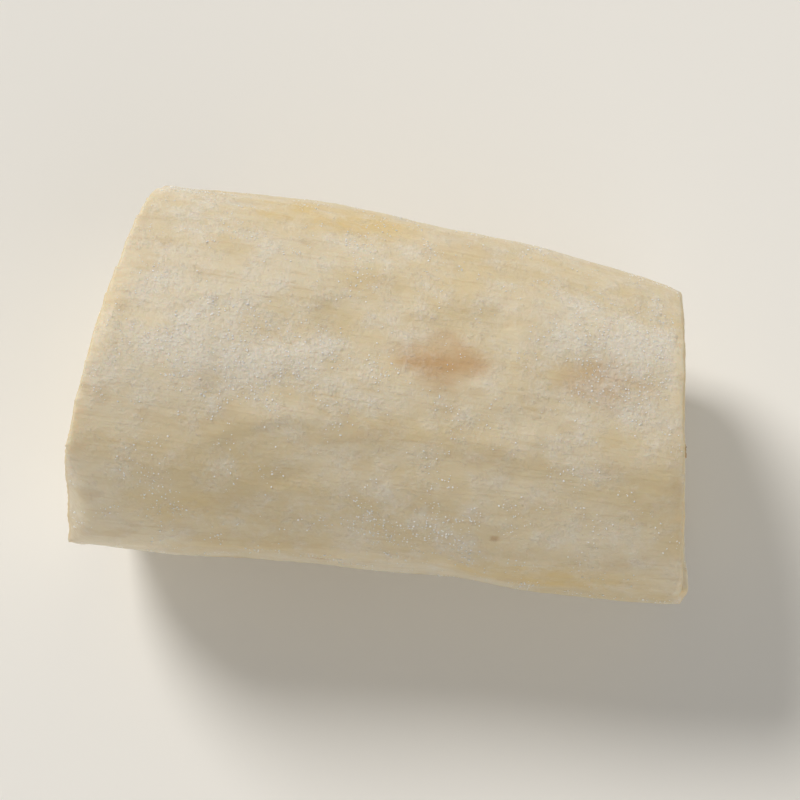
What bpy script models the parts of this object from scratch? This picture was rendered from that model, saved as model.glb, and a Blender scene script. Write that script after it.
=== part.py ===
"""A cut length of peeled cassava root, lying on its flattest peeled side.

The root is one solid. It starts as a barrel that tapers, bends and swells unevenly, as the root grew.
Knife strokes shave its flank into long, soft-edged flats, a cleaver squares both ends and chips a corner off
each, and the widest flat underneath is the one that it rests on.

Metres, +Z up, +X along the root towards its thin end. The origin is the middle of the box at its foot.
"""

import math
import random
from collections import namedtuple

import bmesh
import bpy
from mathutils import Vector

# The finished piece.
LENGTH = 0.093
WIDTH = 0.058
HEIGHT = 0.050

# The root as it grew, before the knife.
STOCK_LENGTH = LENGTH + 0.016
STOCK_HALF_WIDTH = WIDTH / 2 + 0.0006
STOCK_HALF_HEIGHT = HEIGHT / 2 + 0.0022
TAPER = 0.17  # share of the girth lost from the thick end to the thin end
TAPER_LATE = 1.7  # over 1, the root keeps its girth at first and narrows towards the thin end
SWELL = 0.05  # how much stouter the root is between its ends
BEND = 0.0024  # how far the middle bows out towards +Y
DROOP = 0.0030  # how far the middle falls at the thin end, so that the underside lies nearly level
RIBS = 60
RINGS = 27

# The knife work. Each stroke shaves a flat over part of the length and fades out past its two ends.
STROKES_AROUND = 9
STROKE_DEPTH = (0.0004, 0.0014)
STROKE_OVERLAP = 0.13  # how far past the root's middle a stroke may reach, as a share of the length
STROKE_FADE = 0.22  # the share of the length over which a stroke lifts out of the flesh
STROKE_LIFT = 0.0022  # how far clear of the skin it is past that
RIDGE_SHARPNESS = 40  # the higher, the crisper the ridge between two flats
WIDEST_VIEW = math.radians(75)  # past this angle from its middle a stroke's plane can't touch the root
REST_DEPTH = 0.0030  # the underside flat is the deepest cut
SEED = 8

# The cleaver cuts: how far each end leans from square, about Z and about Y.
THICK_END_LEAN = (math.radians(7.0), math.radians(-3.0))
THIN_END_LEAN = (math.radians(7.0), math.radians(4.0))
CHIP = 0.0015  # how deep the chip at an end's corner bites
CHIPS = ((-1, math.radians(152)), (1, math.radians(322)))  # end and angle around the root

LEAST_EDGE = 0.0001
FLESH_COLOUR = (0.75, 0.61, 0.38, 1.0)

Stroke = namedtuple("Stroke", "angle first last depth")


def girth(share):
    """The root's thickness at a share of its length, against that at the thick end."""
    waviness = 0.010 * math.sin(9.0 * share + 0.8)
    return 1.0 - TAPER * max(share, 0.0) ** TAPER_LATE + SWELL * math.sin(math.pi * share) + waviness


def lobes(angle, share):
    """How far the root stands out of round at an angle and a share of its length."""
    slow_turn = 0.7 * share
    return 1.0 + 0.020 * math.cos(2 * angle + 0.9 + slow_turn) + 0.016 * math.cos(3 * angle - 1.1 - slow_turn)


def middle(share):
    """The point on the root's bowed middle line at a share of its length."""
    droop = DROOP * max(share, 0.0) ** TAPER_LATE
    return Vector(((share - 0.5) * STOCK_LENGTH, BEND * math.sin(math.pi * share), -droop))


def around(angle):
    """The unit vector across the root at an angle from +Y about X."""
    return Vector((0.0, math.cos(angle), math.sin(angle)))


def skin_distance(angle, share):
    """The distance from the middle line to the unpeeled root at an angle from +Y about X."""
    round_shape = math.hypot(STOCK_HALF_WIDTH * math.cos(angle), STOCK_HALF_HEIGHT * math.sin(angle))
    return round_shape * girth(share) * lobes(angle, share)


def knife_strokes():
    """The strokes of the knife: a turn of them on each half of the root, unevenly spaced and laid."""
    knife = random.Random(SEED)
    strokes = []
    for end in (-1, 1):
        for place in range(STROKES_AROUND):
            turn = (place + 0.25 * end + knife.uniform(-0.2, 0.2)) / STROKES_AROUND
            inner = 0.5 - end * knife.uniform(-STROKE_OVERLAP, STROKE_OVERLAP)
            outer = 0.5 + end * knife.uniform(0.42, 0.75)
            depth = knife.uniform(*STROKE_DEPTH)
            strokes.append(Stroke(2 * math.pi * turn, min(inner, outer), max(inner, outer), depth))
    return strokes


def lift(stroke, share):
    """How far the knife is out of its flat at a share of the length: 0 along the stroke, then rising."""
    past = max(stroke.first - share, share - stroke.last, 0.0) / STROKE_FADE
    return STROKE_LIFT * min(past, 1.0) ** 2 * (3.0 - 2.0 * min(past, 1.0))


def peeled_distance(angle, share, strokes):
    """The distance from the middle line to the peeled root: a soft least of the skin and every flat."""
    nearest = [skin_distance(angle, share)]
    for stroke in strokes:
        turned = math.remainder(angle - stroke.angle, 2 * math.pi)
        if abs(turned) < WIDEST_VIEW:
            flat = skin_distance(stroke.angle, share) - stroke.depth + lift(stroke, share)
            nearest.append(flat / math.cos(turned))
    return sum(distance**-RIDGE_SHARPNESS for distance in nearest) ** (-1.0 / RIDGE_SHARPNESS)


def peel_root():
    """The peeled root as a closed mesh: a drum drawn out along X, its rings moved to the peeled shape."""
    root = bmesh.new()
    bmesh.ops.create_cone(root, cap_ends=True, segments=RIBS, radius1=1.0, radius2=1.0, depth=1.0)
    staves = [e for e in root.edges if abs(e.verts[0].co.z - e.verts[1].co.z) > 0.5]
    bmesh.ops.subdivide_edges(root, edges=staves, cuts=RINGS - 2, use_grid_fill=True)
    strokes = knife_strokes()
    for vert in root.verts:
        share = vert.co.z + 0.5
        angle = math.atan2(vert.co.y, vert.co.x)
        vert.co = middle(share) + around(angle) * peeled_distance(angle, share, strokes)
    return root


def cut_away(root, point, outward):
    """Removes what lies past a plane and closes the cut with one flat face."""
    for vert in root.verts:
        height = (vert.co - point).dot(outward)
        if abs(height) < LEAST_EDGE:
            vert.co -= height * outward
    everything = root.verts[:] + root.edges[:] + root.faces[:]
    cut = bmesh.ops.bisect_plane(
        root, geom=everything, dist=LEAST_EDGE / 10, plane_co=point, plane_no=outward, clear_outer=True
    )
    rim = [part for part in cut["geom_cut"] if isinstance(part, bmesh.types.BMEdge)]
    bmesh.ops.contextual_create(root, geom=rim)


def cut_ends(root):
    """Squares both ends, then chips a corner off each."""
    for end, (about_z, about_y) in ((-1, THICK_END_LEAN), (1, THIN_END_LEAN)):
        outward = Vector((end, math.sin(about_z), math.sin(about_y))).normalized()
        cut_away(root, Vector((end * LENGTH / 2, 0.0, 0.0)), outward)
    for end, angle in CHIPS:
        share = 0.5 + end * LENGTH / 2 / STOCK_LENGTH
        corner = middle(share) + around(angle) * (skin_distance(angle, share) - CHIP)
        outward = (around(angle) + Vector((end * 0.8, 0.0, 0.0))).normalized()
        cut_away(root, corner, outward)


def cut_rest_flat(root):
    """Cuts the level flat that the root lies on."""
    foot = min(vert.co.z for vert in root.verts)
    cut_away(root, Vector((0.0, 0.0, foot + REST_DEPTH)), Vector((0.0, 0.0, -1.0)))


def bring_to_size(root):
    """Scales the shape to the finished length, width and height, with its foot's middle at the origin."""
    low = Vector(min(vert.co[axis] for vert in root.verts) for axis in range(3))
    high = Vector(max(vert.co[axis] for vert in root.verts) for axis in range(3))
    size = high - low
    foot = Vector(((low.x + high.x) / 2, (low.y + high.y) / 2, low.z))
    bmesh.ops.translate(root, verts=root.verts, vec=-foot)
    bmesh.ops.scale(root, verts=root.verts, vec=(LENGTH / size.x, WIDTH / size.y, HEIGHT / size.z))


def flesh_material():
    """Peeled cassava: cream, faintly waxy starch."""
    material = bpy.data.materials.new("peeled_cassava_flesh")
    material.use_nodes = True
    shader = material.node_tree.nodes["Principled BSDF"]
    shader.inputs["Base Color"].default_value = FLESH_COLOUR
    shader.inputs["Roughness"].default_value = 0.5
    shader.inputs["Metallic"].default_value = 0.0
    material.diffuse_color = FLESH_COLOUR
    return material


def clear_scene():
    """Removes the objects that a new scene starts with."""
    for old in list(bpy.data.objects):
        bpy.data.objects.remove(old)


def main():
    """Builds the root and puts it in its own collection."""
    clear_scene()
    root = peel_root()
    cut_ends(root)
    cut_rest_flat(root)
    bmesh.ops.dissolve_degenerate(root, dist=LEAST_EDGE, edges=root.edges)
    bring_to_size(root)
    bmesh.ops.recalc_face_normals(root, faces=root.faces)

    mesh = bpy.data.meshes.new("cassava_root")
    root.to_mesh(mesh)
    root.free()
    mesh.materials.append(flesh_material())
    piece = bpy.data.objects.new("cassava_root", mesh)
    collection = bpy.data.collections.new("cassava_root")
    bpy.context.scene.collection.children.link(collection)
    collection.objects.link(piece)


main()
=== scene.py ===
"""A cut length of peeled, frozen cassava root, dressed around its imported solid.

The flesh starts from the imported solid's own shape, and takes the marks of the knife, the cleaver and the root.
A few woody threads stand out of the core at both cut ends, and grains of frost lie on the flank.
"""

import logging
import math
import random
from dataclasses import dataclass, field
from enum import Enum

import bpy
import numpy as np
from mathutils import Euler, Matrix, Vector, noise
from mathutils.bvhtree import BVHTree


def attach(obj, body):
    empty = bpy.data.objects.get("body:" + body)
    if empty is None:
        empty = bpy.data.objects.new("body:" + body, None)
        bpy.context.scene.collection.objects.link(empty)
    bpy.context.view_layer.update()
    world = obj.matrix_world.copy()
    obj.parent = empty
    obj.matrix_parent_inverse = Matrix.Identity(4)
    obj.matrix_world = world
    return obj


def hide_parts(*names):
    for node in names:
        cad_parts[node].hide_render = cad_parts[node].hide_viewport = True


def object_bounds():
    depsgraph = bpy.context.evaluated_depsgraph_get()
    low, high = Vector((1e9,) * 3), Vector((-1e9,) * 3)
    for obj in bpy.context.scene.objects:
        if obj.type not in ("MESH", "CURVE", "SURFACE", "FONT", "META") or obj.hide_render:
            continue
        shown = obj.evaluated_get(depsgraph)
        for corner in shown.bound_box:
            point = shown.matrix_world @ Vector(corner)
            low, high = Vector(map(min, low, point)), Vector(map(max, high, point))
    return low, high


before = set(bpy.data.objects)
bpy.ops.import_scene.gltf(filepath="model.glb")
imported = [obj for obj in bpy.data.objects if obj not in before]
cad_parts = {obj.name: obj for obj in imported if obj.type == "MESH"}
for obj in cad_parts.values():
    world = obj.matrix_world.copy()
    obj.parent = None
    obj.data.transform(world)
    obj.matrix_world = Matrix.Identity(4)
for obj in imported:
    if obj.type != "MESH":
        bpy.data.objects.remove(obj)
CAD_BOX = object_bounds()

LOG = logging.getLogger("cassava_root")
MM = 0.001
BODY = "root"
NODE = "cassava_root"
OUTSIDE = 0.1  # metres from the root's middle, well outside its flesh
HAIR = 0.001 * MM  # so small that it only keeps a width from being nothing
CORE_LINE = "core_line"  # the attribute that points from a cut end's core out to each point


class Mask(Enum):
    """A share from 0 to 1 that each point of the flesh holds, for its relief and its colours."""

    FLANK = "flank"
    CUT_END = "cut_end"
    RIM = "rim"
    CORE = "core"
    CRACK = "crack"
    SCAR = "scar"
    BLUSH = "blush"
    YELLOW = "yellow"
    FROST = "frost"

    @property
    def group(self) -> str:
        """The vertex group that holds the mask for a modifier."""
        return self.value + "_group"


class Grain(Enum):
    """A kind of uneven relief, named for Blender's own texture that makes it."""

    LUMPS = "CLOUDS"
    RIPPLES = "WOOD"


# Small helpers for the modelling.


def choose(piece: bpy.types.Object) -> None:
    """Leaves only this piece selected and active.

    Args:
        piece: The object that the next operators act on.
    """
    if bpy.context.object and bpy.context.object.mode != "OBJECT":
        bpy.ops.object.mode_set(mode="OBJECT")
    bpy.ops.object.select_all(action="DESELECT")
    piece.select_set(True)
    bpy.context.view_layer.objects.active = piece


def apply_modifier(piece: bpy.types.Object, kind: str, **settings: object) -> None:
    """Adds one modifier to a piece and applies it.

    Args:
        piece: The mesh object that is changed.
        kind: The modifier's type, such as REMESH.
        settings: The modifier's own properties.
    """
    choose(piece)
    bpy.ops.object.modifier_add(type=kind)
    modifier = piece.modifiers[-1]
    for name, value in settings.items():
        setattr(modifier, name, value)
    bpy.ops.object.modifier_apply(modifier=modifier.name)


def places(piece: bpy.types.Object) -> np.ndarray:
    """The piece's points, one row each, in metres.

    Args:
        piece: The mesh object.

    Returns:
        The points, as rows of x, y and z.
    """
    found = np.empty(len(piece.data.vertices) * 3)
    piece.data.vertices.foreach_get("co", found)
    return found.reshape(-1, 3)


def facings(piece: bpy.types.Object) -> np.ndarray:
    """The outward direction at each of the piece's points, one row each.

    Args:
        piece: The mesh object.

    Returns:
        The directions, as rows of x, y and z.
    """
    found = np.empty(len(piece.data.vertices) * 3)
    piece.data.vertex_normals.foreach_get("vector", found)
    return found.reshape(-1, 3)


def smooth_step(values: np.ndarray, low: float, high: float) -> np.ndarray:
    """A soft rise from 0 at low to 1 at high."""
    share = np.clip((values - low) / (high - low), 0.0, 1.0)
    return share * share * (3.0 - 2.0 * share)


def weigh(piece: bpy.types.Object, name: str, weights: np.ndarray) -> str:
    """Makes a vertex group from one weight a point.

    Args:
        piece: The mesh object.
        name: The group's name.
        weights: A weight from 0 to 1 for each point.

    Returns:
        The group's name, for a modifier.
    """
    old = piece.vertex_groups.get(name)
    if old:
        piece.vertex_groups.remove(old)
    group = piece.vertex_groups.new(name=name)
    for index in np.flatnonzero(weights > 0.0):
        group.add([int(index)], float(weights[index]), "REPLACE")
    return group.name


def raise_points(piece: bpy.types.Object, heights: np.ndarray) -> None:
    """Moves each point out along its normal by its own height, or in where the height is negative.

    Args:
        piece: The mesh object.
        heights: A height in metres for each point.
    """
    for sign in (1.0, -1.0):
        wanted = np.clip(sign * heights, 0.0, None)
        reach = float(wanted.max())
        if reach > 0.0:
            group = weigh(piece, "reach", wanted / reach)
            apply_modifier(piece, "DISPLACE", strength=sign * reach, mid_level=0.0, vertex_group=group)
    left = piece.vertex_groups.get("reach")
    if left:
        piece.vertex_groups.remove(left)


def store(piece: bpy.types.Object, mask: Mask, values: np.ndarray) -> None:
    """Keeps a mask on the piece's points, where its material reads it.

    Args:
        piece: The mesh object that is changed.
        mask: The mask to keep.
        values: The mask's value at each point.
    """
    layer = piece.data.attributes.get(mask.value)
    if layer is None:
        layer = piece.data.attributes.new(mask.value, "FLOAT", "POINT")
    layer.data.foreach_set("value", np.clip(values, 0.0, 1.0).astype(np.float32))


def settle_transform(piece: bpy.types.Object) -> None:
    """Moves the piece's place and turn into its mesh, so that its object sits at the origin."""
    choose(piece)
    bpy.ops.object.transform_apply(location=True, rotation=True, scale=True)


def surface_of(piece: bpy.types.Object) -> BVHTree:
    """The piece's surface as it is now, for finding places on it."""
    piece.data.calc_loop_triangles()
    return BVHTree.FromPolygons(places(piece).tolist(), [tuple(t.vertices) for t in piece.data.loop_triangles])


# Small helpers for the finishes.


def linear(code: str) -> tuple[float, float, float, float]:
    """The linear colour of an sRGB hex code.

    Args:
        code: Six hex digits after a hash sign.

    Returns:
        Red, green, blue and a full opacity, for a shader socket.
    """
    shares = [int(code[start : start + 2], 16) / 255 for start in (1, 3, 5)]
    red, green, blue = (s / 12.92 if s <= 0.04045 else ((s + 0.055) / 1.055) ** 2.4 for s in shares)
    return red, green, blue, 1.0


def add_node(
    tree: bpy.types.NodeTree, kind: str, inputs: dict[str | int, object], **settings: object
) -> bpy.types.Node:
    """Adds a node with its settings, and fills or links its inputs.

    Args:
        tree: The material's node tree.
        kind: The node's class, without its ShaderNode prefix.
        inputs: Socket names or numbers, each with a value, a socket, or a node whose first output is linked.
        settings: The node's own properties.

    Returns:
        The new node.
    """
    node = tree.nodes.new("ShaderNode" + kind)
    for name, value in settings.items():
        setattr(node, name, value)
    for name, value in inputs.items():
        usable = [socket for socket in node.inputs if socket.enabled]
        socket = usable[name] if isinstance(name, int) else next(s for s in usable if s.name == name)
        if isinstance(value, bpy.types.Node):
            value = next(s for s in value.outputs if s.enabled)
        if isinstance(value, bpy.types.NodeSocket):
            tree.links.new(value, socket)
        else:
            socket.default_value = value
    return node


def new_tree(name: str) -> tuple[bpy.types.Material, bpy.types.NodeTree]:
    """A new material and its emptied node tree.

    Args:
        name: The material's name.

    Returns:
        The material and its tree.
    """
    material = bpy.data.materials.new(name)
    material.use_nodes = True
    material.node_tree.nodes.clear()
    return material, material.node_tree


# The root's flesh.


@dataclass(frozen=True)
class Relief:
    """Uneven relief that a Displace modifier presses into the flesh."""

    grain: Grain
    size: float  # metres across one lump or ripple
    height: float  # metres from its lowest to its highest point
    stretch: tuple[float, float, float] = (1.0, 1.0, 1.0)  # how much longer it is along each axis
    where: Mask = Mask.FLANK
    turn: tuple[float, float, float] = (0.0, 0.0, 0.0)

    def press(self, piece: bpy.types.Object) -> None:
        """Presses the relief into the piece where its vertex group lets it.

        Args:
            piece: The flesh.
        """
        texture = bpy.data.textures.new("relief", self.grain.value)
        texture.noise_scale = self.size
        if self.grain is Grain.RIPPLES:
            texture.wood_type = "BANDNOISE"
            texture.turbulence = 4.0
        guide = bpy.data.objects.new("relief_guide", None)
        bpy.context.scene.collection.objects.link(guide)
        guide.scale = self.stretch
        guide.rotation_euler = self.turn
        bpy.context.view_layer.update()
        apply_modifier(
            piece,
            "DISPLACE",
            texture=texture,
            texture_coords="OBJECT",
            texture_coords_object=guide,
            strength=self.height,
            mid_level=0.5,
            vertex_group=self.where.group,
        )
        bpy.data.objects.remove(guide)
        bpy.data.textures.remove(texture)


@dataclass(frozen=True)
class Crack:
    """A drying or freezing crack that runs out from the core over a cut end."""

    bearing: float  # degrees around the core, from +Y towards +Z
    start: float  # metres from the core's middle
    end: float
    half_width: float
    depth: float
    sway: float = 0.5 * MM
    sway_run: float = 1.4 * MM
    narrowing: float = 0.6  # less than 1 keeps the crack wide for longer
    shallowing: float = 0.5  # less than 1 keeps it deep for longer

    def depths(self, radius: np.ndarray, bearing: np.ndarray) -> np.ndarray:
        """How deep the crack is at each point.

        Args:
            radius: Each point's distance from the core's middle.
            bearing: Each point's angle around it, in radians.

        Returns:
            A depth in metres for each point.
        """
        turned = bearing - math.radians(self.bearing)
        along = radius * np.cos(turned)
        across = radius * np.sin(turned) - self.sway * np.sin(along / self.sway_run + self.bearing)
        left = 1.0 - np.clip((along - self.start) / (self.end - self.start), 0.0, 1.0)
        half_width = self.half_width * left**self.narrowing + HAIR
        open_here = (along > self.start) & (left > 0.0)
        profile = np.clip(1 - (across / half_width) ** 2, 0, 1)
        return np.where(open_here, self.depth * left**self.shallowing * profile, 0)


@dataclass
class CutEnd:
    """One of the two faces that the cleaver left."""

    side: int  # -1 at the thick end, 1 at the thin end
    core_at: tuple[float, float]  # the core's middle, across and up from the face's own middle
    cracks: tuple[Crack, ...]
    ledge_bearing: float  # degrees: where the last of the flesh snapped
    ledge_at: float  # metres from the face's middle to the snapped part
    ledge_height: float
    core_radius: float = 1.5 * MM
    core_height: float = 0.7 * MM
    moat_depth: float = 0.55 * MM
    core_edge: tuple[float, float] = (0.8, 1.0)  # shares of the core's radius where its top falls away
    moat_inside: tuple[float, float] = (0.85, 1.15)  # shares of it where the hollow round the core deepens
    moat_outside: tuple[float, float] = (1.3, 2.4)  # and where the hollow ends
    torn_height: float = 0.15 * MM  # the uneven top of the torn core
    torn_run: float = 0.35 * MM
    torn_turns: int = 3
    ledge_width: float = 0.8 * MM
    ledge_sway: float = 0.7 * MM
    ledge_run: float = 2.3 * MM
    ledge_fall: float = 0.35  # the share of its height that the ledge loses towards the rim
    ledge_fall_span: tuple[float, float] = (1.5 * MM, 9 * MM)
    level_from: float = 0.93  # the share of the way to the rim where the ledge dies out
    face_depths: tuple[float, float] = (0.5 * MM, 1.1 * MM)
    face_turns: tuple[float, float] = (0.25, 0.75)  # cosines of a point's turn away from the cut
    middle: Vector = field(default_factory=Vector)
    outward: Vector = field(default_factory=Vector)

    def find(self, packed: bpy.types.Mesh) -> None:
        """Finds the face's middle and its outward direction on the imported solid.

        Args:
            packed: The CAD node's mesh.
        """
        area, middle, outward = 0.0, Vector(), Vector()
        for face in packed.polygons:
            if face.normal.x * self.side > 0.95:
                area += face.area
                middle += face.center * face.area
                outward += face.normal * face.area
        self.middle = middle / area
        self.outward = outward.normalized()

    def depth_below(self, points: np.ndarray) -> np.ndarray:
        """How far each point lies in from the cut's plane."""
        return -(points - np.array(self.middle)) @ np.array(self.outward)

    def polar(self, points: np.ndarray, about_core: bool = True) -> tuple[np.ndarray, np.ndarray]:
        """Each point's distance from and bearing around the core, or the face's middle, seen along the root.

        Args:
            points: The flesh's points, one row each.
            about_core: Whether to measure around the core, not the face's middle.

        Returns:
            The distances in metres and the bearings in radians.
        """
        across, up = self.core_at if about_core else (0.0, 0.0)
        flat = points[:, 1:] - np.array(self.middle)[1:] - np.array((across, up))
        return np.hypot(flat[:, 0], flat[:, 1]), np.arctan2(flat[:, 1], flat[:, 0])

    def core_place(self) -> Vector:
        """The middle of the core where it meets the cut.

        Returns:
            The place, in metres.
        """
        across, up = self.core_at
        lean = -(self.outward.y * across + self.outward.z * up) / self.outward.x
        return self.middle + Vector((lean, across, up))

    def share_on_face(self, points: np.ndarray, normals: np.ndarray) -> np.ndarray:
        """1 on the cut face, falling to 0 just round its rim."""
        near = 1.0 - smooth_step(self.depth_below(points), *self.face_depths)
        return near * smooth_step(normals @ np.array(self.outward), *self.face_turns)

    def shape(self, piece: bpy.types.Object) -> None:
        """Presses the ledge, the core and the cracks into the face.

        Args:
            piece: The flesh.
        """
        points, normals = places(piece), facings(piece)
        on_face = self.share_on_face(points, normals)
        inner = on_face * (1.0 - smooth_step(self.rim_share(points, on_face), self.level_from, 1.0))
        radius, bearing = self.polar(points)
        heights = self.ledge_heights(points) * inner + self.core_heights(radius, bearing)
        for crack in self.cracks:
            heights -= crack.depths(radius, bearing)
        raise_points(piece, heights * on_face)

    def ledge_heights(self, points: np.ndarray) -> np.ndarray:
        """The ledge that stays where the cleaver stops cutting and the last of the flesh snaps.

        Args:
            points: The flesh's points, one row each.

        Returns:
            A height in metres for each point.
        """
        far, turned = self.polar(points, about_core=False)
        turned = turned - math.radians(self.ledge_bearing)
        toward = far * np.cos(turned)
        wander = self.ledge_sway * np.sin(far * np.sin(turned) / self.ledge_run)
        step = smooth_step(toward + wander, self.ledge_at, self.ledge_at + self.ledge_width)
        first, last = self.ledge_fall_span
        fall = smooth_step(toward, self.ledge_at + first, self.ledge_at + last)
        return self.ledge_height * (step - self.ledge_fall * fall)

    def core_heights(self, radius: np.ndarray, bearing: np.ndarray) -> np.ndarray:
        """The torn core, which stands up in a shallow hollow.

        Args:
            radius: Each point's distance from the core's middle.
            bearing: Each point's angle around it, in radians.

        Returns:
            A height in metres for each point.
        """
        share = radius / self.core_radius
        torn_top = self.torn_height * np.sin(radius / self.torn_run + self.torn_turns * bearing)
        core = (self.core_height + torn_top) * (1.0 - smooth_step(share, *self.core_edge))
        moat = smooth_step(share, *self.moat_inside) * (1.0 - smooth_step(share, *self.moat_outside))
        return core - self.moat_depth * moat

    def rim_share(self, points: np.ndarray, on_face: np.ndarray) -> np.ndarray:
        """Each point's distance from the face's middle as a share of the rim's own distance that way.

        Args:
            points: The flesh's points, one row each.
            on_face: How far each point is on the cut face, from 0 to 1.

        Returns:
            A share for each point, 1 at the rim.
        """
        far, turned = self.polar(points, about_core=False)
        slots = 72
        slot_of = np.floor((turned + math.pi) / (2 * math.pi) * slots).astype(int) % slots
        rim = np.zeros(slots)
        np.maximum.at(rim, slot_of[on_face > 0.5], far[on_face > 0.5])
        bearings = (np.arange(slots) + 0.5) / slots * 2 * math.pi - math.pi
        reach = np.interp(turned, bearings, rim, period=2 * math.pi)
        return far / np.maximum(reach, MM)


@dataclass(frozen=True)
class Stroke:
    """One shallow shave of the peeling knife, with an edge where the blade left the flesh."""

    along: float  # the middle of the stroke, in metres along the root
    bearing: float  # degrees around the root, from +Y towards +Z
    half_length: float
    depth: float
    lean: float  # how far the blade dips from one end of the stroke to the other, in radians
    reach: float = 12 * MM  # half the width of the widest flat that the blade can leave
    exit_slope: float = 0.13  # how steeply the blade leaves the flesh at both ends of the stroke
    wobble: float = 1.2 * MM  # how unevenly the stroke ends
    wobble_runs: tuple[float, float] = (2.1 * MM, 3.3 * MM)

    def shave(self, points: np.ndarray, free: np.ndarray, tree: BVHTree, axis: Vector) -> np.ndarray:
        """Takes the stroke off the flesh.

        Args:
            points: The flesh's points.
            free: How free each point is to move, from 0 to 1.
            tree: The flesh's surface, to find where the stroke lies on it.
            axis: The middle of the root.

        Returns:
            The points, with those that stood above the blade moved down to it.
        """
        around = Vector((0.0, math.cos(math.radians(self.bearing)), math.sin(math.radians(self.bearing))))
        start = Vector((self.along, axis.y, axis.z)) + around * OUTSIDE
        touched, outward, _, _ = tree.ray_cast(start, -around)
        if touched is None:
            return points
        blade = (outward + Vector((self.lean, 0.0, 0.0))).normalized()
        offset = points - np.array(touched - blade * self.depth)
        proud = offset @ np.array(blade)
        run, rise = self.wobble_runs
        wobble = self.wobble * np.sin(points[:, 1] / run + self.bearing) * np.sin(points[:, 2] / rise)
        past = np.abs(offset[:, 0]) + wobble - self.half_length
        lift = np.clip(past, 0.0, None) * self.exit_slope
        near = np.linalg.norm(offset - np.outer(offset[:, 0], (1.0, 0.0, 0.0)), axis=1) < self.reach
        taken = np.where(near, np.clip(proud - lift, 0.0, 2 * self.depth), 0.0)
        return points - np.outer(taken * free, np.array(blade))


@dataclass(frozen=True)
class Mark:
    """A spot on the flank with a colour of its own, and with a hollow if it has a depth."""

    mask: Mask
    along: float  # metres along the root from its middle
    bearing: float  # degrees around the root, from +Y towards +Z
    half_length: float
    half_width: float
    strength: float = 1.0
    depth: float = 0.0
    raggedness: float = 0.22
    ragged_runs: tuple[float, float] = (1.7 * MM, 1.3 * MM)
    full_to: float = 0.15  # the share of the way out that has the mark's full strength

    def shares(self, points: np.ndarray, tree: BVHTree, axis: Vector) -> np.ndarray:
        """How much of the mark each point has, from 1 in its middle to 0 outside it.

        Args:
            points: The flesh's points.
            tree: The flesh's surface, to find where the mark lies on it.
            axis: The middle of the root.

        Returns:
            A share for each point.
        """
        around = Vector((0.0, math.cos(math.radians(self.bearing)), math.sin(math.radians(self.bearing))))
        touched = tree.ray_cast(Vector((self.along, axis.y, axis.z)) + around * OUTSIDE, -around)[0]
        offset = points - np.array(touched)
        run, rise = self.ragged_runs
        waves = np.sin(points[:, 0] / run + self.bearing) * np.sin(points[:, 1] / rise)
        ragged = 1.0 + self.raggedness * waves
        far = np.hypot(offset[:, 0] / self.half_length, np.hypot(offset[:, 1], offset[:, 2]) / self.half_width)
        return self.strength * (1.0 - smooth_step(far * ragged, self.full_to, 1.0))


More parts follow.
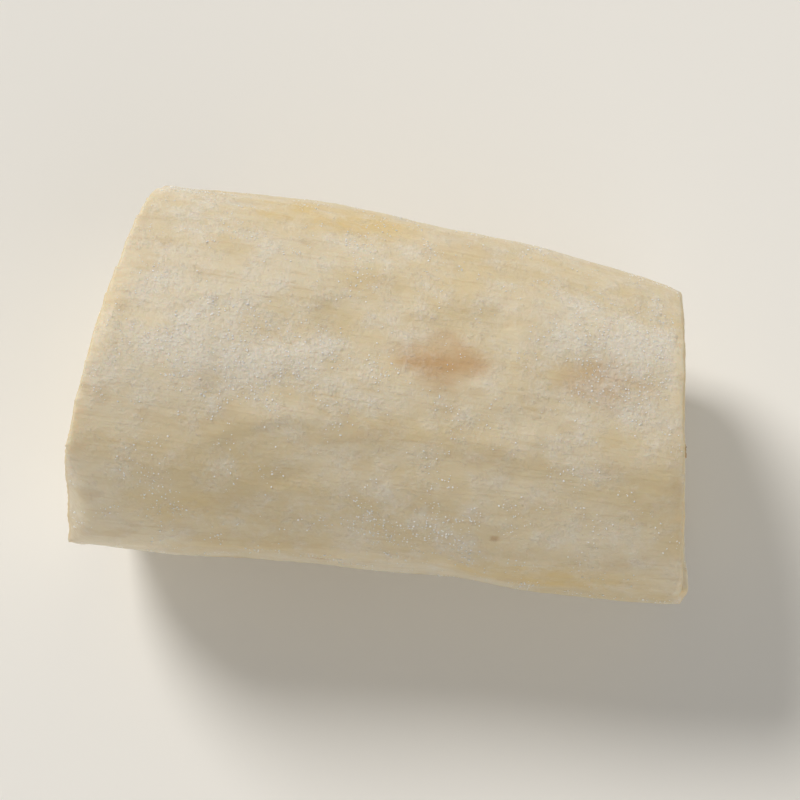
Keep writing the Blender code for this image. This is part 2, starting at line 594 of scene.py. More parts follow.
@dataclass
class RootFlesh:
    """The peeled flesh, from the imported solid's own shape."""

    first_voxel: float = 0.625 * MM
    soften_rounds: int = 24
    strokes: int = 26
    stroke_depth: tuple[float, float] = (0.10 * MM, 0.32 * MM)
    stroke_half_length: tuple[float, float] = (11 * MM, 24 * MM)
    stroke_span: float = 0.75  # the share of the root's length where strokes have their middles
    stroke_bearings: tuple[float, float] = (-35.0, 215.0)
    stroke_lean: float = 0.02
    rest_edge: tuple[float, float] = (0.3 * MM, 2.0 * MM)  # heights over which the flank's marks fade in
    cut_edge: tuple[float, float] = (0.6 * MM, 2.4 * MM)  # depths from a cut over which they fade in
    rim_from: float = 0.80  # the share of the way to the rim where its waxy ring starts
    core_stain: float = 1.9  # how many core radii the core's colour reaches
    seed: int = 11
    ends: tuple[CutEnd, ...] = (
        CutEnd(
            side=-1,
            core_at=(1.2 * MM, 1.0 * MM),
            cracks=(
                Crack(bearing=62, start=1.2 * MM, end=17 * MM, half_width=0.55 * MM, depth=1.8 * MM),
                Crack(bearing=196, start=1.2 * MM, end=13 * MM, half_width=0.45 * MM, depth=1.4 * MM),
                Crack(bearing=301, start=1.2 * MM, end=10 * MM, half_width=0.38 * MM, depth=1.1 * MM),
            ),
            ledge_bearing=-62,
            ledge_at=14.5 * MM,
            ledge_height=1.3 * MM,
        ),
        CutEnd(
            side=1,
            core_at=(-0.8 * MM, 0.6 * MM),
            cracks=(
                Crack(bearing=118, start=1.2 * MM, end=12 * MM, half_width=0.45 * MM, depth=1.5 * MM),
                Crack(bearing=247, start=1.2 * MM, end=9 * MM, half_width=0.36 * MM, depth=1.1 * MM),
            ),
            ledge_bearing=215,
            ledge_at=15.0 * MM,
            ledge_height=0.9 * MM,
        ),
    )
    marks: tuple[Mark, ...] = (
        Mark(Mask.BLUSH, along=5.6 * MM, bearing=86, half_length=11 * MM, half_width=6.5 * MM, strength=1.0),
        Mark(Mask.BLUSH, along=29 * MM, bearing=84, half_length=11 * MM, half_width=5.5 * MM, strength=0.8),
        Mark(Mask.BLUSH, along=-22 * MM, bearing=196, half_length=9.0 * MM, half_width=4.0 * MM, strength=0.6),
        Mark(Mask.BLUSH, along=14 * MM, bearing=-8, half_length=12 * MM, half_width=4.5 * MM, strength=0.6),
        Mark(Mask.YELLOW, along=-13 * MM, bearing=28, half_length=26 * MM, half_width=11 * MM, strength=0.8),
        Mark(Mask.YELLOW, along=24 * MM, bearing=170, half_length=26 * MM, half_width=8 * MM, strength=0.7),
        Mark(Mask.YELLOW, along=-30 * MM, bearing=152, half_length=18 * MM, half_width=7 * MM, strength=0.5),
        Mark(Mask.FROST, along=-24 * MM, bearing=92, half_length=24 * MM, half_width=12 * MM, strength=0.9),
        Mark(Mask.FROST, along=34 * MM, bearing=70, half_length=20 * MM, half_width=16 * MM, strength=0.8),
        Mark(Mask.FROST, along=-40 * MM, bearing=30, half_length=16 * MM, half_width=14 * MM, strength=0.6),
        Mark(Mask.FROST, along=6 * MM, bearing=150, half_length=18 * MM, half_width=9 * MM, strength=0.5),
        Mark(Mask.SCAR, 17 * MM, 150, half_length=1.2 * MM, half_width=0.9 * MM, strength=0.6, depth=0.3 * MM),
        Mark(Mask.SCAR, -9 * MM, bearing=176, half_length=2.2 * MM, half_width=1.5 * MM, depth=0.55 * MM),
        Mark(Mask.SCAR, 31 * MM, bearing=12, half_length=1.6 * MM, half_width=1.2 * MM, depth=0.40 * MM),
        Mark(Mask.SCAR, -26 * MM, bearing=-14, half_length=2.1 * MM, half_width=1.4 * MM, depth=0.50 * MM),
    )
    reliefs: tuple[Relief, ...] = (
        Relief(Grain.LUMPS, size=19 * MM, height=1.6 * MM, stretch=(1.6, 1.0, 1.0)),
        Relief(Grain.LUMPS, size=3.2 * MM, height=0.22 * MM, stretch=(5.0, 1.0, 1.0)),
        Relief(Grain.RIPPLES, size=3.0 * MM, height=0.10 * MM, turn=(0.0, 0.0, math.radians(12))),
        Relief(Grain.LUMPS, size=1.7 * MM, height=0.19 * MM),
        Relief(Grain.LUMPS, size=6.0 * MM, height=0.5 * MM, where=Mask.CUT_END),
        Relief(Grain.LUMPS, size=1.3 * MM, height=0.16 * MM, where=Mask.CUT_END),
    )

    def build(self) -> bpy.types.Object:
        """Makes the flesh's mesh.

        Returns:
            The flesh, not yet dressed.
        """
        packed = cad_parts[NODE]
        piece = bpy.data.objects.new("root_flesh", packed.data.copy())
        bpy.context.scene.collection.objects.link(piece)
        piece.data.materials.clear()
        choose(piece)
        bpy.ops.object.mode_set(mode="EDIT")
        bpy.ops.mesh.select_all(action="SELECT")
        bpy.ops.mesh.remove_doubles(threshold=HAIR)
        bpy.ops.object.mode_set(mode="OBJECT")
        for end in self.ends:
            end.find(piece.data)
        apply_modifier(piece, "REMESH", mode="VOXEL", voxel_size=self.first_voxel, use_smooth_shade=True)
        self.soften(piece)
        self.shave(piece)
        self.refine_ends(piece)
        self.store_masks(piece)
        for end in self.ends:
            end.shape(piece)
        self.roughen(piece)
        self.place_marks(piece)
        self.store_masks(piece)
        self.settle(piece)
        return piece

    def flank(self, points: np.ndarray) -> np.ndarray:
        """1 on the peeled flank, 0 at the cut ends and at the underside.

        Args:
            points: The flesh's points, one row each.

        Returns:
            A share for each point.
        """
        share = smooth_step(points[:, 2], *self.rest_edge)
        for end in self.ends:
            share = share * smooth_step(end.depth_below(points), *self.cut_edge)
        return share

    def soften(self, piece: bpy.types.Object) -> None:
        """Relaxes the flank, so that the solid's flat facets don't show in it."""
        group = weigh(piece, Mask.FLANK.group, self.flank(places(piece)))
        apply_modifier(piece, "SMOOTH", factor=0.5, iterations=self.soften_rounds, vertex_group=group)

    def shave(self, piece: bpy.types.Object) -> None:
        """Takes the knife's shallow strokes off the flank.

        Args:
            piece: The mesh object that is changed.
        """
        knife = random.Random(self.seed)
        low, high = CAD_BOX
        axis = (Vector(low) + Vector(high)) / 2
        points = places(piece)
        free = self.flank(points)
        tree = surface_of(piece)
        for _ in range(self.strokes):
            stroke = Stroke(
                along=knife.uniform(low[0] * self.stroke_span, high[0] * self.stroke_span),
                bearing=knife.uniform(*self.stroke_bearings),
                half_length=knife.uniform(*self.stroke_half_length),
                depth=knife.uniform(*self.stroke_depth),
                lean=knife.uniform(-self.stroke_lean, self.stroke_lean),
            )
            points = stroke.shave(points, free, tree, axis)
        piece.data.vertices.foreach_set("co", points.ravel())
        piece.data.update()

    def refine_ends(self, piece: bpy.types.Object) -> None:
        """Halves the faces of both cut ends, where the finest marks are.

        Args:
            piece: The mesh object that is changed.
        """
        choose(piece)
        bpy.ops.object.mode_set(mode="EDIT")
        bpy.ops.mesh.select_all(action="DESELECT")
        bpy.ops.object.mode_set(mode="OBJECT")
        points, normals = places(piece), facings(piece)
        on_end = sum(end.share_on_face(points, normals) for end in self.ends) > 0.8
        for face in piece.data.polygons:
            face.select = all(on_end[index] for index in face.vertices)
        bpy.ops.object.mode_set(mode="EDIT")
        bpy.ops.mesh.select_mode(type="FACE")
        bpy.ops.mesh.subdivide(number_cuts=1, quadcorner="INNERVERT")
        bpy.ops.object.mode_set(mode="OBJECT")

    def place_marks(self, piece: bpy.types.Object) -> None:
        """Hollows the scars and stores each kind of mark for the material.

        Args:
            piece: The mesh object that is changed.
        """
        low, high = CAD_BOX
        axis = (Vector(low) + Vector(high)) / 2
        tree = surface_of(piece)
        points = places(piece)
        hollows = np.zeros(len(points))
        for mask in (Mask.BLUSH, Mask.YELLOW, Mask.FROST, Mask.SCAR):
            found = np.zeros(len(points))
            for mark in self.marks:
                if mark.mask is mask:
                    shares = mark.shares(points, tree, axis)
                    hollows += shares * mark.depth
                    found = np.maximum(found, shares)
            store(piece, mask, found * self.flank(points))
        raise_points(piece, -hollows)

    def store_masks(self, piece: bpy.types.Object) -> None:
        """Works out where the flank, the cut faces and the marks are, for the reliefs and the material.

        Args:
            piece: The mesh object that is changed.
        """
        points, normals = places(piece), facings(piece)
        cut = np.zeros(len(points))
        rim = np.zeros(len(points))
        core = np.zeros(len(points))
        crack = np.zeros(len(points))
        for end in self.ends:
            on_face = end.share_on_face(points, normals)
            radius, bearing = end.polar(points)
            cut = np.maximum(cut, on_face)
            rim = np.maximum(rim, on_face * smooth_step(end.rim_share(points, on_face), self.rim_from, 1.0))
            near_core = 1.0 - smooth_step(radius / end.core_radius, 1.0, self.core_stain)
            core = np.maximum(core, on_face * near_core)
            for line in end.cracks:
                crack = np.maximum(crack, on_face * line.depths(radius, bearing) / line.depth)
        weigh(piece, Mask.FLANK.group, self.flank(points))
        weigh(piece, Mask.CUT_END.group, cut)
        for mask, values in ((Mask.CUT_END, cut), (Mask.RIM, rim), (Mask.CORE, core), (Mask.CRACK, crack)):
            store(piece, mask, values)
        self.store_core_lines(piece, points)

    def store_core_lines(self, piece: bpy.types.Object, points: np.ndarray) -> None:
        """Keeps each point's way out from the nearer end's core, so that the rays on a cut face start there.

        Args:
            piece: The mesh object that is changed.
            points: The flesh's points, one row each.
        """
        first, last = (np.array(end.core_place()) for end in self.ends)
        nearer = np.where(points[:, :1] < 0.0, first, last)
        out = points - nearer
        out[:, 0] = 0.0
        layer = piece.data.attributes.get(CORE_LINE)
        if layer is None:
            layer = piece.data.attributes.new(CORE_LINE, "FLOAT_VECTOR", "POINT")
        layer.data.foreach_set("vector", out.astype(np.float32).ravel())

    def roughen(self, piece: bpy.types.Object) -> None:
        """Presses all the uneven reliefs in."""
        for relief in self.reliefs:
            relief.press(piece)

    def settle(self, piece: bpy.types.Object) -> None:
        """Keeps every point on or over the surface that the root rests on.

        Args:
            piece: The mesh object that is changed.
        """
        points = places(piece)
        points[:, 2] = np.maximum(points[:, 2], 0.0)
        piece.data.vertices.foreach_set("co", points.ravel())
        piece.data.update()

    def dress(self, piece: bpy.types.Object, finish: bpy.types.Material) -> None:
        """Gives the flesh its finish and its place in the frame.

        Args:
            piece: The mesh object that is changed.
            finish: The material to wear.
        """
        piece.data.materials.append(finish)
        piece.vertex_groups.clear()
        choose(piece)
        bpy.ops.object.shade_smooth()
        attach(piece, BODY)
        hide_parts(NODE)


@dataclass(frozen=True)
class PeeledFlesh:
    """Raw cassava flesh, peeled with a knife, cut with a cleaver and frozen.

    The dense starch is cream and a little translucent, so light soaks in and comes back warm. Fibres run along
    the flank, rays run out from the core over the cut ends, and dry frost whitens the high places.
    """

    name: str = "knife_peeled_frozen_cassava"
    cream: str = "#D7C59E"
    ivory: str = "#E0D3B7"
    straw: str = "#DABF82"
    fibre_shade: str = "#C4A97A"
    blush_tan: str = "#C29C6C"
    scar_brown: str = "#8A6540"
    cut_white: str = "#E5DBC4"
    cut_ray: str = "#D9C8A2"
    rim_wax: str = "#D6C094"
    core_tan: str = "#AE8652"
    # painted shade: the cracks' colour, laid on more thickly the deeper a crack is, for the shade inside it
    crack_painted_shade: str = "#9C7B50"
    frost_white: str = "#EFECE6"
    fibre: float = 0.65 * MM  # the spacing of the fibre lines, which are finer than this in the root
    fibre_run: float = 14 * MM
    patch: float = 15 * MM
    starch_grain: float = 0.55 * MM  # coarser than real starch, which is too fine to show
    frost_patch: float = 5.0 * MM
    frost_grain: float = 0.5 * MM
    ray_turns: float = 21.0
    spot: float = 4.5 * MM  # small pale and darker spots, as starch and sap dry unevenly
    translucency: float = 0.30  # light soaks in and softens the edges of the shade
    light_depth: float = 3.2 * MM
    light_tint: tuple[float, float, float] = (1.0, 0.66, 0.40)  # red goes deepest, so thin edges glow warm
    flesh_ior: float = 1.40
    ice_film: float = 0.18  # a thin film of ice gives a weak, broad shine over the satin
    ice_film_roughness: float = 0.22
    ice_ior: float = 1.31
    satin: tuple[float, float] = (0.36, 0.56)  # where the knife passed
    cut_dullness: float = 0.62
    frost_dryness: float = 0.74
    glint_gloss: float = 0.10
    frost_cover: float = 0.52  # how much of the flesh's colour the thickest frost hides
    line_depth: float = 0.17 * MM
    grain_depth: float = 0.15 * MM

    def build(self) -> bpy.types.Material:
        """Makes the material.

        Returns:
            The finished material.
        """
        material, tree = new_tree(self.name)
        place = add_node(tree, "TexCoord", {}).outputs["Object"]
        masks = {m: add_node(tree, "Attribute", {}, attribute_name=m.value).outputs["Fac"] for m in Mask}
        squeeze = (self.fibre / self.fibre_run, 1.0, 1.0)
        along = add_node(tree, "Mapping", {"Vector": place, "Scale": squeeze})
        fibres = add_node(tree, "TexNoise", {"Vector": along, "Scale": 1 / self.fibre, "Detail": 5.0})
        starch = add_node(tree, "TexNoise", {"Vector": place, "Scale": 1 / self.starch_grain, "Detail": 3.0})
        rays = self.rays(tree)
        frost = self.frost(tree, place, masks[Mask.FROST], masks[Mask.CUT_END])
        glint = self.glint(tree, place, frost)
        colour = self.flank_colour(tree, place, fibres, masks)
        colour = self.cut_colour(tree, colour, rays, masks)
        cover = add_node(tree, "Math", {0: frost, 1: self.frost_cover}, operation="MULTIPLY")
        colour = self.blend(tree, cover, colour, self.frost_white)
        shader = add_node(
            tree,
            "BsdfPrincipled",
            {
                "Base Color": colour,
                "Roughness": self.roughness(tree, starch, frost, glint, masks[Mask.CUT_END]),
                "IOR": self.flesh_ior,
                "Normal": self.relief(tree, fibres, starch, rays, frost, glint, masks[Mask.CUT_END]),
                "Subsurface Weight": self.translucency,
                "Subsurface Radius": self.light_tint,
                "Subsurface Scale": self.light_depth,
                "Coat Weight": self.ice_film,
                "Coat Roughness": self.ice_film_roughness,
                "Coat IOR": self.ice_ior,
            },
        )
        add_node(tree, "OutputMaterial", {"Surface": shader})
        return material

    def blend(self, tree: bpy.types.NodeTree, share: object, under: object, over: str) -> bpy.types.Node:
        """Lays one colour over another by a share."""
        inputs = {"Factor": share, "A": under, "B": linear(over)}
        return add_node(tree, "Mix", inputs, data_type="RGBA")

    def span(
        self, tree: bpy.types.NodeTree, value: object, low: float, high: float, top: float = 1.0
    ) -> bpy.types.Node:
        """A soft step of a pattern, from 0 at low to top at high."""
        inputs = {"Value": value, "From Min": low, "From Max": high, "To Max": top}
        return add_node(tree, "MapRange", inputs, interpolation_type="SMOOTHSTEP")

    def rays(self, tree: bpy.types.NodeTree) -> bpy.types.Node:
        """Fine lines that run straight out from the core over a cut end.

        Args:
            tree: The material's node tree.

        Returns:
            The rays' pattern, from 0 to 1.
        """
        line = add_node(tree, "Attribute", {}, attribute_name=CORE_LINE).outputs["Vector"]
        heading = add_node(tree, "VectorMath", {0: line}, operation="NORMALIZE")
        length = add_node(tree, "VectorMath", {0: line}, operation="LENGTH").outputs["Value"]
        slow = add_node(tree, "Math", {0: length, 1: 0.12 / MM / self.ray_turns}, operation="MULTIPLY")
        parts = add_node(tree, "SeparateXYZ", {"Vector": heading})
        turned = add_node(tree, "CombineXYZ", {"X": slow, "Y": parts.outputs["Y"], "Z": parts.outputs["Z"]})
        inputs = {"Vector": turned, "Scale": self.ray_turns, "Detail": 4.0, "Roughness": 0.6}
        return add_node(tree, "TexNoise", inputs)

    def frost(self, tree: bpy.types.NodeTree, place: object, painted: object, cut: object) -> bpy.types.Node:
        """Where dry frost lies: ragged, grainy patches, mostly where the frost mask is.

        Args:
            tree: The material's node tree.
            place: The coordinates that patterns are laid by.
            painted: The frost mask.
            cut: The cut-end mask.

        Returns:
            How much frost there is, from 0 to 1.
        """
        ragged = add_node(
            tree, "TexNoise", {"Vector": place, "Scale": 1 / self.frost_patch, "Detail": 8.0, "Roughness": 0.72}
        )
        favoured = add_node(tree, "Math", {0: painted, 1: 0.20, 2: ragged}, operation="MULTIPLY_ADD")
        kept_off = add_node(tree, "Math", {0: cut, 1: -0.07, 2: favoured}, operation="MULTIPLY_ADD")
        patch = self.span(tree, kept_off, 0.40, 0.78)
        grains = add_node(tree, "TexVoronoi", {"Vector": place, "Scale": 1 / self.frost_grain})
        chance = add_node(tree, "SeparateColor", {"Color": grains.outputs["Color"]})
        speckle = self.span(tree, chance, 0.1, 0.9, 0.45)
        thinned = add_node(tree, "Math", {0: patch, 1: speckle, 2: patch}, operation="MULTIPLY_ADD")
        return add_node(tree, "Math", {0: thinned, 1: 0.75}, operation="MULTIPLY", use_clamp=True)

    def glint(self, tree: bpy.types.NodeTree, place: object, frost: object) -> bpy.types.Node:
        """The few frost grains that face the light and glitter.

        Args:
            tree: The material's node tree.
            place: The coordinates that patterns are laid by.
            frost: How much frost there is.

        Returns:
            Where a grain glitters, from 0 to 1.
        """
        grains = add_node(tree, "TexVoronoi", {"Vector": place, "Scale": 1 / self.frost_grain})
        chance = add_node(tree, "SeparateColor", {"Color": grains.outputs["Color"]}).outputs["Red"]
        few = self.span(tree, chance, 0.86, 0.90)
        return add_node(tree, "Math", {0: few, 1: frost}, operation="MULTIPLY")

    def flank_colour(
        self, tree: bpy.types.NodeTree, place: object, fibres: object, masks: dict[Mask, object]
    ) -> bpy.types.Node:
        """The flank: cream, with ivory and straw patches, darker fibre lines, tan blushes and brown scars.

        Args:
            tree: The material's node tree.
            place: The coordinates that patterns are laid by.
            fibres: The fibre lines' pattern.
            masks: Each mask's value.

        Returns:
            The flank's colour.
        """
        long_patch = add_node(tree, "Mapping", {"Vector": place, "Scale": (0.45, 1.0, 1.0)})
        patches = add_node(tree, "TexNoise", {"Vector": long_patch, "Scale": 1 / self.patch, "Detail": 4.0})
        colour = self.blend(tree, self.span(tree, patches, 0.38, 0.62), linear(self.cream), self.ivory)
        small = add_node(tree, "TexNoise", {"Vector": long_patch, "Scale": 1 / self.spot, "Detail": 5.0})
        straw = add_node(tree, "Math", {0: masks[Mask.YELLOW], 1: small}, operation="MULTIPLY")
        colour = self.blend(tree, self.span(tree, straw, 0.05, 0.55), colour, self.straw)
        colour = self.blend(tree, self.span(tree, small, 0.54, 0.66, 0.55), colour, self.ivory)
        colour = self.blend(tree, self.span(tree, small, 0.44, 0.34, 0.24), colour, self.fibre_shade)
        colour = self.blend(tree, self.span(tree, fibres, 0.52, 0.74, 0.26), colour, self.fibre_shade)
        blush = add_node(tree, "Math", {0: masks[Mask.BLUSH], 1: small}, operation="MULTIPLY")
        colour = self.blend(tree, self.span(tree, blush, 0.0, 0.66, 0.9), colour, self.blush_tan)
        halo = self.span(tree, masks[Mask.SCAR], 0.0, 0.5, 0.55)
        colour = self.blend(tree, halo, colour, self.blush_tan)
        return self.blend(tree, self.span(tree, masks[Mask.SCAR], 0.45, 0.95, 0.9), colour, self.scar_brown)

    def cut_colour(
        self, tree: bpy.types.NodeTree, flank: object, rays: object, masks: dict[Mask, object]
    ) -> bpy.types.Node:
        """The cut ends: whiter flesh with rays, a waxy rim, a tan woody core and cracks darkened with painted
        shade.

        Args:
            tree: The material's node tree.
            flank: The flank's colour.
            rays: The rays' pattern.
            masks: Each mask's value.

        Returns:
            The whole flesh's colour, before its frost.
        """
        face = self.blend(tree, self.span(tree, rays, 0.44, 0.68, 0.62), linear(self.cut_white), self.cut_ray)
        face = self.blend(tree, self.span(tree, masks[Mask.RIM], 0.35, 0.9, 0.75), face, self.rim_wax)
        face = self.blend(tree, self.span(tree, masks[Mask.CORE], 0.0, 0.9), face, self.core_tan)
        # painted shade inside the cracks, darkest where they are deepest
        face = self.blend(tree, self.span(tree, masks[Mask.CRACK], 0.15, 0.9, 0.8), face, self.crack_painted_shade)
        return add_node(tree, "Mix", {"Factor": masks[Mask.CUT_END], "A": flank, "B": face}, data_type="RGBA")

    def roughness(
        self, tree: bpy.types.NodeTree, starch: object, frost: object, glint: object, cut: object
    ) -> bpy.types.Node:
        """Satin where the knife passed, duller on the cut ends, dry on the frost, and bright on its glints.

        Args:
            tree: The material's node tree.
            starch: The starch grain's pattern.
            frost: How much frost there is.
            glint: Where a grain of frost glitters.
            cut: The cut-end mask.

        Returns:
            The roughness.
        """
        low, high = self.satin
        base = add_node(tree, "MapRange", {"Value": starch, "To Min": low, "To Max": high})
        dull = add_node(tree, "Mix", {"Factor": cut, "A": base, "B": self.cut_dullness}, data_type="FLOAT")
        dry = add_node(tree, "Mix", {"Factor": frost, "A": dull, "B": self.frost_dryness}, data_type="FLOAT")
        return add_node(tree, "Mix", {"Factor": glint, "A": dry, "B": self.glint_gloss}, data_type="FLOAT")

    def relief(
        self,
        tree: bpy.types.NodeTree,
        fibres: object,
        starch: object,
        rays: object,
        frost: object,
        glint: object,
        cut: object,
    ) -> bpy.types.Node:
        """The relief that is finer than the mesh: fibre lines, rays, starch and frost grains.

        Args:
            tree: The material's node tree.
            fibres: The fibre lines' pattern.
            starch: The starch grain's pattern.
            rays: The rays' pattern.
            frost: How much frost there is.
            glint: Where a grain of frost glitters.
            cut: The cut-end mask.

        Returns:
            The surface direction.
        """
        lines = add_node(tree, "Mix", {"Factor": cut, "A": fibres, "B": rays}, data_type="FLOAT")
        first = add_node(tree, "Bump", {"Height": lines, "Distance": self.line_depth, "Strength": 0.8})
        grain = add_node(tree, "Math", {0: frost, 1: 2.2, 2: 0.6}, operation="MULTIPLY_ADD")
        rough = add_node(tree, "Math", {0: starch, 1: grain}, operation="MULTIPLY")
        height = add_node(tree, "Math", {0: glint, 1: 0.9, 2: rough}, operation="MULTIPLY_ADD")
        inputs = {"Height": height, "Distance": self.grain_depth, "Strength": 0.85, "Normal": first}
        return add_node(tree, "Bump", inputs)


@dataclass
class WoodyThreads:
    """The ends of the core's tough threads, which stand out of a cut where the cleaver tore them."""

    end: CutEnd
    count: int = 6
    radius: float = 0.17 * MM
    length: tuple[float, float] = (0.4 * MM, 1.1 * MM)
    root_depth: float = 0.8 * MM  # how far into the core each one starts
    joints: int = 4
    sides: int = 8
    spread: float = 0.55  # the share of the core's radius that the threads stand in
    stray: tuple[float, float] = (0.2, 1.0)  # how far out in it each one stands
    splay: tuple[float, float] = (-0.1, 0.45)  # how far each one leans out
    wander: float = 0.3  # how unevenly they are spaced, and how far each joint turns
    taper: float = 0.84
    seed: int = 5

    def build(self) -> bpy.types.Object:
        """Makes the tuft at one cut end.

        Returns:
            The threads, joined into one piece.
        """
        hand = random.Random(self.seed + self.end.side)
        threads = [self.thread(hand, turn) for turn in range(self.count)]
        bpy.ops.object.select_all(action="DESELECT")
        for thread in threads:
            thread.select_set(True)
        bpy.context.view_layer.objects.active = threads[0]
        bpy.ops.object.join()
        tuft = threads[0]
        tuft.name = "core_threads_thick_end" if self.end.side < 0 else "core_threads_thin_end"
        settle_transform(tuft)
        return tuft

    def thread(self, hand: random.Random, turn: int) -> bpy.types.Object:
        """One thread: a thin rod drawn out joint by joint, thinner and a little off line each time.

        Args:
            hand: The source of chance.
            turn: The thread's number around the core.

        Returns:
            The thread's rod.
        """
        spread = self.spread * self.end.core_radius
        angle = 2 * math.pi * (turn + hand.uniform(-self.wander, self.wander)) / self.count
        side_step = Vector((0.0, math.cos(angle), math.sin(angle))) * spread * hand.uniform(*self.stray)
        foot = self.end.core_place() - self.end.outward * self.root_depth + side_step
        lean = (self.end.outward + side_step.normalized() * hand.uniform(*self.splay)).normalized()
        bpy.ops.mesh.primitive_cylinder_add(
            vertices=self.sides,
            radius=self.radius,
            depth=2 * self.root_depth,
            location=foot,
            rotation=lean.to_track_quat("Z", "Y").to_euler(),
        )
        rod = bpy.context.object
        step = hand.uniform(*self.length) / self.joints
        bpy.ops.object.mode_set(mode="EDIT")
        bpy.ops.mesh.select_mode(type="FACE")
        bpy.ops.mesh.select_all(action="DESELECT")
        bpy.ops.object.mode_set(mode="OBJECT")
        tip = max(rod.data.polygons, key=lambda face: face.center.z)
        tip.select = True
        bpy.ops.object.mode_set(mode="EDIT")
        for _ in range(self.joints):
            bends = [hand.uniform(-self.wander, self.wander) for _ in range(2)]
            bend = Vector((0.0, *bends))
            bpy.ops.mesh.extrude_region_move(TRANSFORM_OT_translate={"value": (lean + bend) * step})
            bpy.ops.transform.resize(value=(self.taper, self.taper, self.taper))
        bpy.ops.object.mode_set(mode="OBJECT")
        bpy.ops.object.shade_smooth_by_angle(angle=math.radians(50))
        return rod

    def dress(self, tuft: bpy.types.Object, finish: bpy.types.Material) -> None:
        """Gives the threads their finish and their place in the frame.

        Args:
            tuft: The joined threads.
            finish: The material to wear.
        """
        tuft.data.materials.clear()
        tuft.data.materials.append(finish)
        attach(tuft, BODY)


@dataclass
class FrostGrains:
    """Loose grains of ice that froze onto the flank."""

    count: int = 5200
    radius: tuple[float, float] = (0.05 * MM, 0.16 * MM)
    size_spread: tuple[float, float] = (0.7, 1.3)
    sink: float = 0.25  # how far out a grain's middle stands, as a share of its radius
    models: int = 4
    dent: float = 0.35 * MM  # how far a full-size grain's corners are knocked about
    squash: tuple[float, float, float] = (1.0, 0.8, 0.65)
    patch: float = 5 * MM
    fine_patch: float = 3.1  # how many times smaller the finer clusters are
    lowest: float = 3 * MM
    seed: int = 9

    def build(self, flesh: bpy.types.Object) -> bpy.types.Object:
        """Scatters the grains over the flesh.

        Args:
            flesh: The finished flesh, with its frost mask.

        Returns:
            All the grains, as one piece.
        """
        hand = random.Random(self.seed)
        models = [self.grain(number) for number in range(self.models)]
        grains = [self.copy(hand.choice(models), spot, way, hand) for spot, way in self.spots(flesh, hand)]
        for model in models:
            bpy.data.objects.remove(model)
        bpy.ops.object.select_all(action="DESELECT")
        for grain in grains:
            grain.select_set(True)
        bpy.context.view_layer.objects.active = grains[0]
        bpy.ops.object.join()
        frost = grains[0]
        frost.name = "frost_grains"
        return frost

    def grain(self, number: int) -> bpy.types.Object:
        """One rough, flat-sided grain, a millimetre in radius, for the smaller copies.

        Args:
            number: The model's number, which sets its shape.

        Returns:
            The grain's mesh object.
        """
        bpy.ops.mesh.primitive_ico_sphere_add(subdivisions=1, radius=MM, location=(0.0, 0.0, 0.0))
        model = bpy.context.object
        bpy.ops.object.mode_set(mode="EDIT")
        bpy.ops.mesh.select_all(action="SELECT")
        bpy.ops.transform.vertex_random(offset=self.dent, uniform=1.0, seed=self.seed + number)
        bpy.ops.transform.resize(value=self.squash)
        bpy.ops.object.mode_set(mode="OBJECT")
        return model

    def spots(self, flesh: bpy.types.Object, hand: random.Random) -> list[tuple[Vector, Vector]]:
        """Places on the flesh where a grain sits, each with its outward direction.

        Args:
            flesh: The finished flesh.
            hand: The source of chance.

        Returns:
            Each place with its outward direction.
        """
        mesh = flesh.data
        frosted = np.empty(len(mesh.vertices), np.float32)
        mesh.attributes[Mask.FROST.value].data.foreach_get("value", frosted)
        cut = np.empty(len(mesh.vertices), np.float32)
        mesh.attributes[Mask.CUT_END.value].data.foreach_get("value", cut)
        found = []
        while len(found) < self.count:
            face = mesh.polygons[hand.randrange(len(mesh.polygons))]
            shares = [hand.random() for _ in face.vertices]
            corners = [mesh.vertices[index].co * share for index, share in zip(face.vertices, shares)]
            spot = sum(corners, Vector()) / sum(shares)
            index = face.vertices[0]
            cluster = noise.noise(spot / self.patch) + 0.5 * noise.noise(spot / self.patch * self.fine_patch)
            chance = 0.9 * frosted[index] - 0.03 + 0.9 * cluster - 0.5 * cut[index]
            if spot.z > self.lowest and hand.random() < chance:
                found.append((spot, face.normal.copy()))
        return found

    def copy(self, model: bpy.types.Object, spot: Vector, way: Vector, hand: random.Random) -> bpy.types.Object:
        """A copy of a grain, with its own mesh, turned and sized by chance and sunk a little into the flesh.

        Args:
            model: The grain to copy.
            spot: Where the copy sits.
            way: The outward direction there.
            hand: The source of chance.

        Returns:
            The new grain.
        """
        radius = hand.uniform(*self.radius) * hand.uniform(*self.size_spread)
        turn = way.to_track_quat("Z", "Y").to_matrix() @ Euler((0, 0, hand.uniform(0, math.tau))).to_matrix()
        mesh = model.data.copy()
        mesh.transform(Matrix.LocRotScale(spot + way * self.sink * radius, turn, Vector.Fill(3, radius / MM)))
        grain = bpy.data.objects.new("grain", mesh)
        bpy.context.scene.collection.objects.link(grain)
        return grain

    def dress(self, frost: bpy.types.Object, finish: bpy.types.Material) -> None:
        """Gives the grains their finish and their place in the frame.

        Args:
            frost: The joined grains.
            finish: The material to wear.
        """
        frost.data.materials.clear()
        frost.data.materials.append(finish)
        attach(frost, BODY)


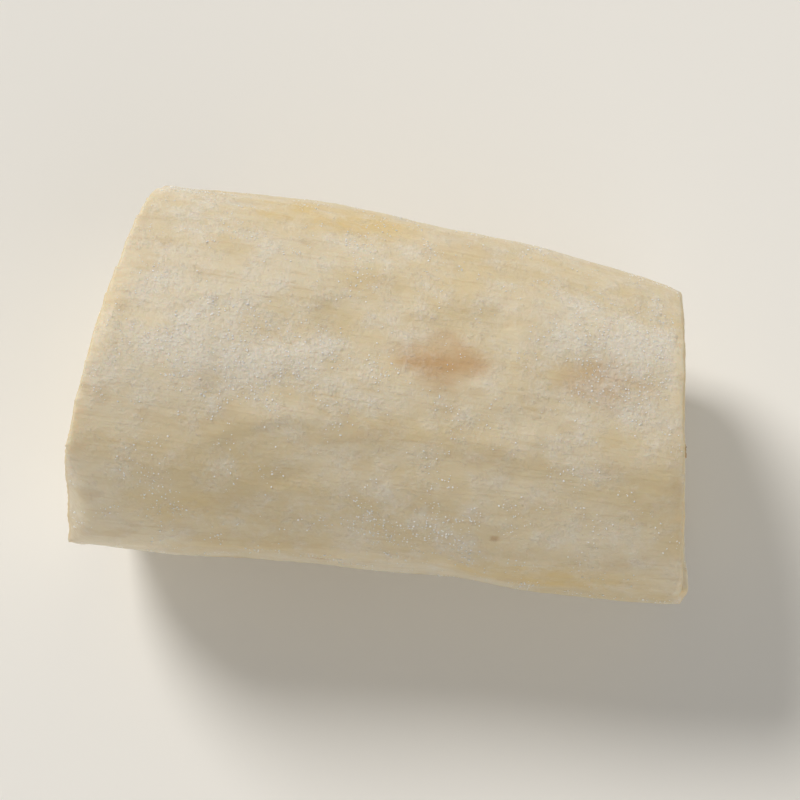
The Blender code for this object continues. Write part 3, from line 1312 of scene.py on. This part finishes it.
@dataclass(frozen=True)
class WoodyCore:
    """The core's lignified threads: dry, tan and fibrous, so they look matt beside the waxy flesh."""

    name: str = "woody_cassava_core"
    tan: str = "#B58F5C"
    dark: str = "#86633C"
    fibre: float = 0.2 * MM

    def build(self) -> bpy.types.Material:
        """Makes the material.

        Returns:
            The finished material.
        """
        material, tree = new_tree(self.name)
        place = add_node(tree, "TexCoord", {}).outputs["Object"]
        along = add_node(tree, "Mapping", {"Vector": place, "Scale": (0.12, 1.0, 1.0)})
        lines = add_node(tree, "TexNoise", {"Vector": along, "Scale": 1 / self.fibre, "Detail": 4.0})
        colour = add_node(
            tree, "Mix", {"Factor": lines, "A": linear(self.dark), "B": linear(self.tan)}, data_type="RGBA"
        )
        bump = add_node(tree, "Bump", {"Height": lines, "Distance": 0.05 * MM, "Strength": 0.8})
        inputs = {"Base Color": colour, "Roughness": 0.75, "Normal": bump}
        add_node(tree, "OutputMaterial", {"Surface": add_node(tree, "BsdfPrincipled", inputs)})
        return material


@dataclass(frozen=True)
class FrostIce:
    """Freezer frost: tiny crystals full of air, so they look white, with flat sides that glitter."""

    name: str = "freezer_frost"
    white: str = "#FBFAF8"
    milk: str = "#F0EDE6"
    cloud: float = 0.4 * MM

    def build(self) -> bpy.types.Material:
        """Makes the material.

        Returns:
            The finished material.
        """
        material, tree = new_tree(self.name)
        place = add_node(tree, "TexCoord", {}).outputs["Object"]
        air = add_node(tree, "TexNoise", {"Vector": place, "Scale": 1 / self.cloud, "Detail": 2.0})
        colour = add_node(
            tree, "Mix", {"Factor": air, "A": linear(self.milk), "B": linear(self.white)}, data_type="RGBA"
        )
        gloss = add_node(tree, "MapRange", {"Value": air, "To Min": 0.05, "To Max": 0.35})
        inputs = {
            "Base Color": colour,
            "Roughness": gloss,
            "IOR": 1.31,
            "Subsurface Weight": 0.5,
            "Subsurface Radius": (1.0, 0.95, 0.9),
            "Subsurface Scale": 0.4 * MM,
            "Specular IOR Level": 0.8,
        }
        add_node(tree, "OutputMaterial", {"Surface": add_node(tree, "BsdfPrincipled", inputs)})
        return material


@dataclass(frozen=True)
class Studio:
    """A pale floor, soft light from the upper left and a camera that looks down on the root."""

    bearing: float = 8.0
    height: float = 77.0
    distance: float = 0.42
    frame_width: float = 0.122
    sensor: float = 36.0
    floor_width: float = 3.0
    paper: str = "#F3F1EC"
    room: str = "#F6F4F0"
    lamp: str = "#FFFCF8"
    horizon: float = 0.84  # how bright the room is low down
    overhead: float = 0.24  # and how bright it is above
    room_span: tuple[float, float] = (0.05, 0.75)  # sines of the heights between which it changes
    key_place: tuple[float, float, float] = (-0.34, 0.28, 0.40)
    fill_place: tuple[float, float, float] = (0.45, -0.40, 0.42)
    key_spread: float = 22.0  # how wide each lamp looks from the root, in degrees
    key_strength: float = 2.15
    fill_spread: float = 60.0
    fill_strength: float = 0.45

    def build(self) -> None:
        """Makes the floor, the lights, the world and the camera."""
        self.floor()
        self.lights()
        self.camera()

    def floor(self) -> None:
        """A wide plain floor under the root."""
        bpy.ops.mesh.primitive_plane_add(size=self.floor_width, location=(0.0, 0.0, 0.0))
        floor = bpy.context.object
        floor.name = "studio_floor"
        material, tree = new_tree("matt_studio_paper")
        shader = add_node(tree, "BsdfPrincipled", {"Base Color": linear(self.paper), "Roughness": 0.9})
        add_node(tree, "OutputMaterial", {"Surface": shader})
        floor.data.materials.append(material)

    def lights(self) -> None:
        """A large soft key, a weak fill and a pale world."""
        for name, place, spread, strength in (
            ("key", self.key_place, self.key_spread, self.key_strength),
            ("fill", self.fill_place, self.fill_spread, self.fill_strength),
        ):
            lamp = bpy.data.lights.new(name, "SUN")
            lamp.angle = math.radians(spread)
            lamp.energy = strength
            lamp.color = linear(self.lamp)[:3]
            light = bpy.data.objects.new(name, lamp)
            light.location = place
            light.rotation_euler = (-Vector(place)).to_track_quat("-Z", "Y").to_euler()
            bpy.context.scene.collection.objects.link(light)
        self.world()

    def world(self) -> None:
        """A pale room, brighter low down than overhead, so the sides are lit and the top keeps its form."""
        world = bpy.data.worlds.new("pale_room")
        bpy.context.scene.world = world
        world.use_nodes = True
        tree = world.node_tree
        tree.nodes.clear()
        way = add_node(tree, "TexCoord", {}).outputs["Generated"]
        height = add_node(tree, "SeparateXYZ", {"Vector": way}).outputs["Z"]
        low, high = self.room_span
        inputs = {"Value": height, "From Min": low, "From Max": high}
        inputs |= {"To Min": self.horizon, "To Max": self.overhead}
        strength = add_node(tree, "MapRange", inputs, interpolation_type="SMOOTHSTEP")
        sky = add_node(tree, "Background", {"Color": linear(self.room), "Strength": strength})
        add_node(tree, "OutputWorld", {"Surface": sky})

    def camera(self) -> None:
        """A camera at the same angle as a person's view down on the piece."""
        low, high = CAD_BOX
        target = (Vector(low) + Vector(high)) / 2
        turn, tilt = math.radians(self.bearing), math.radians(self.height)
        away = Vector((math.sin(turn) * math.cos(tilt), -math.cos(turn) * math.cos(tilt), math.sin(tilt)))
        lens = bpy.data.cameras.new("camera")
        lens.sensor_width = self.sensor
        lens.lens = self.sensor * self.distance / self.frame_width
        lens.clip_start = 0.01
        camera = bpy.data.objects.new("camera", lens)
        camera.location = target + away * self.distance
        camera.rotation_euler = (-away).to_track_quat("-Z", "Y").to_euler()
        bpy.context.scene.collection.objects.link(camera)
        bpy.context.scene.camera = camera
        bpy.context.scene.view_settings.view_transform = "Standard"


def report(piece: bpy.types.Object) -> None:
    """Logs what a finished piece holds."""
    LOG.info("%s: %d faces, %d points", piece.name, len(piece.data.polygons), len(piece.data.vertices))


def main() -> None:
    """Builds the root and the studio in order, and reports each piece."""
    logging.basicConfig(level=logging.INFO, format="%(message)s")
    Studio().build()
    root = RootFlesh()
    flesh = root.build()
    root.dress(flesh, PeeledFlesh().build())
    report(flesh)
    wood = WoodyCore().build()
    for end in root.ends:
        threads = WoodyThreads(end)
        tuft = threads.build()
        threads.dress(tuft, wood)
        report(tuft)
    grains = FrostGrains()
    frost = grains.build(flesh)
    grains.dress(frost, FrostIce().build())
    report(frost)


if __name__ == "__main__":
    main()
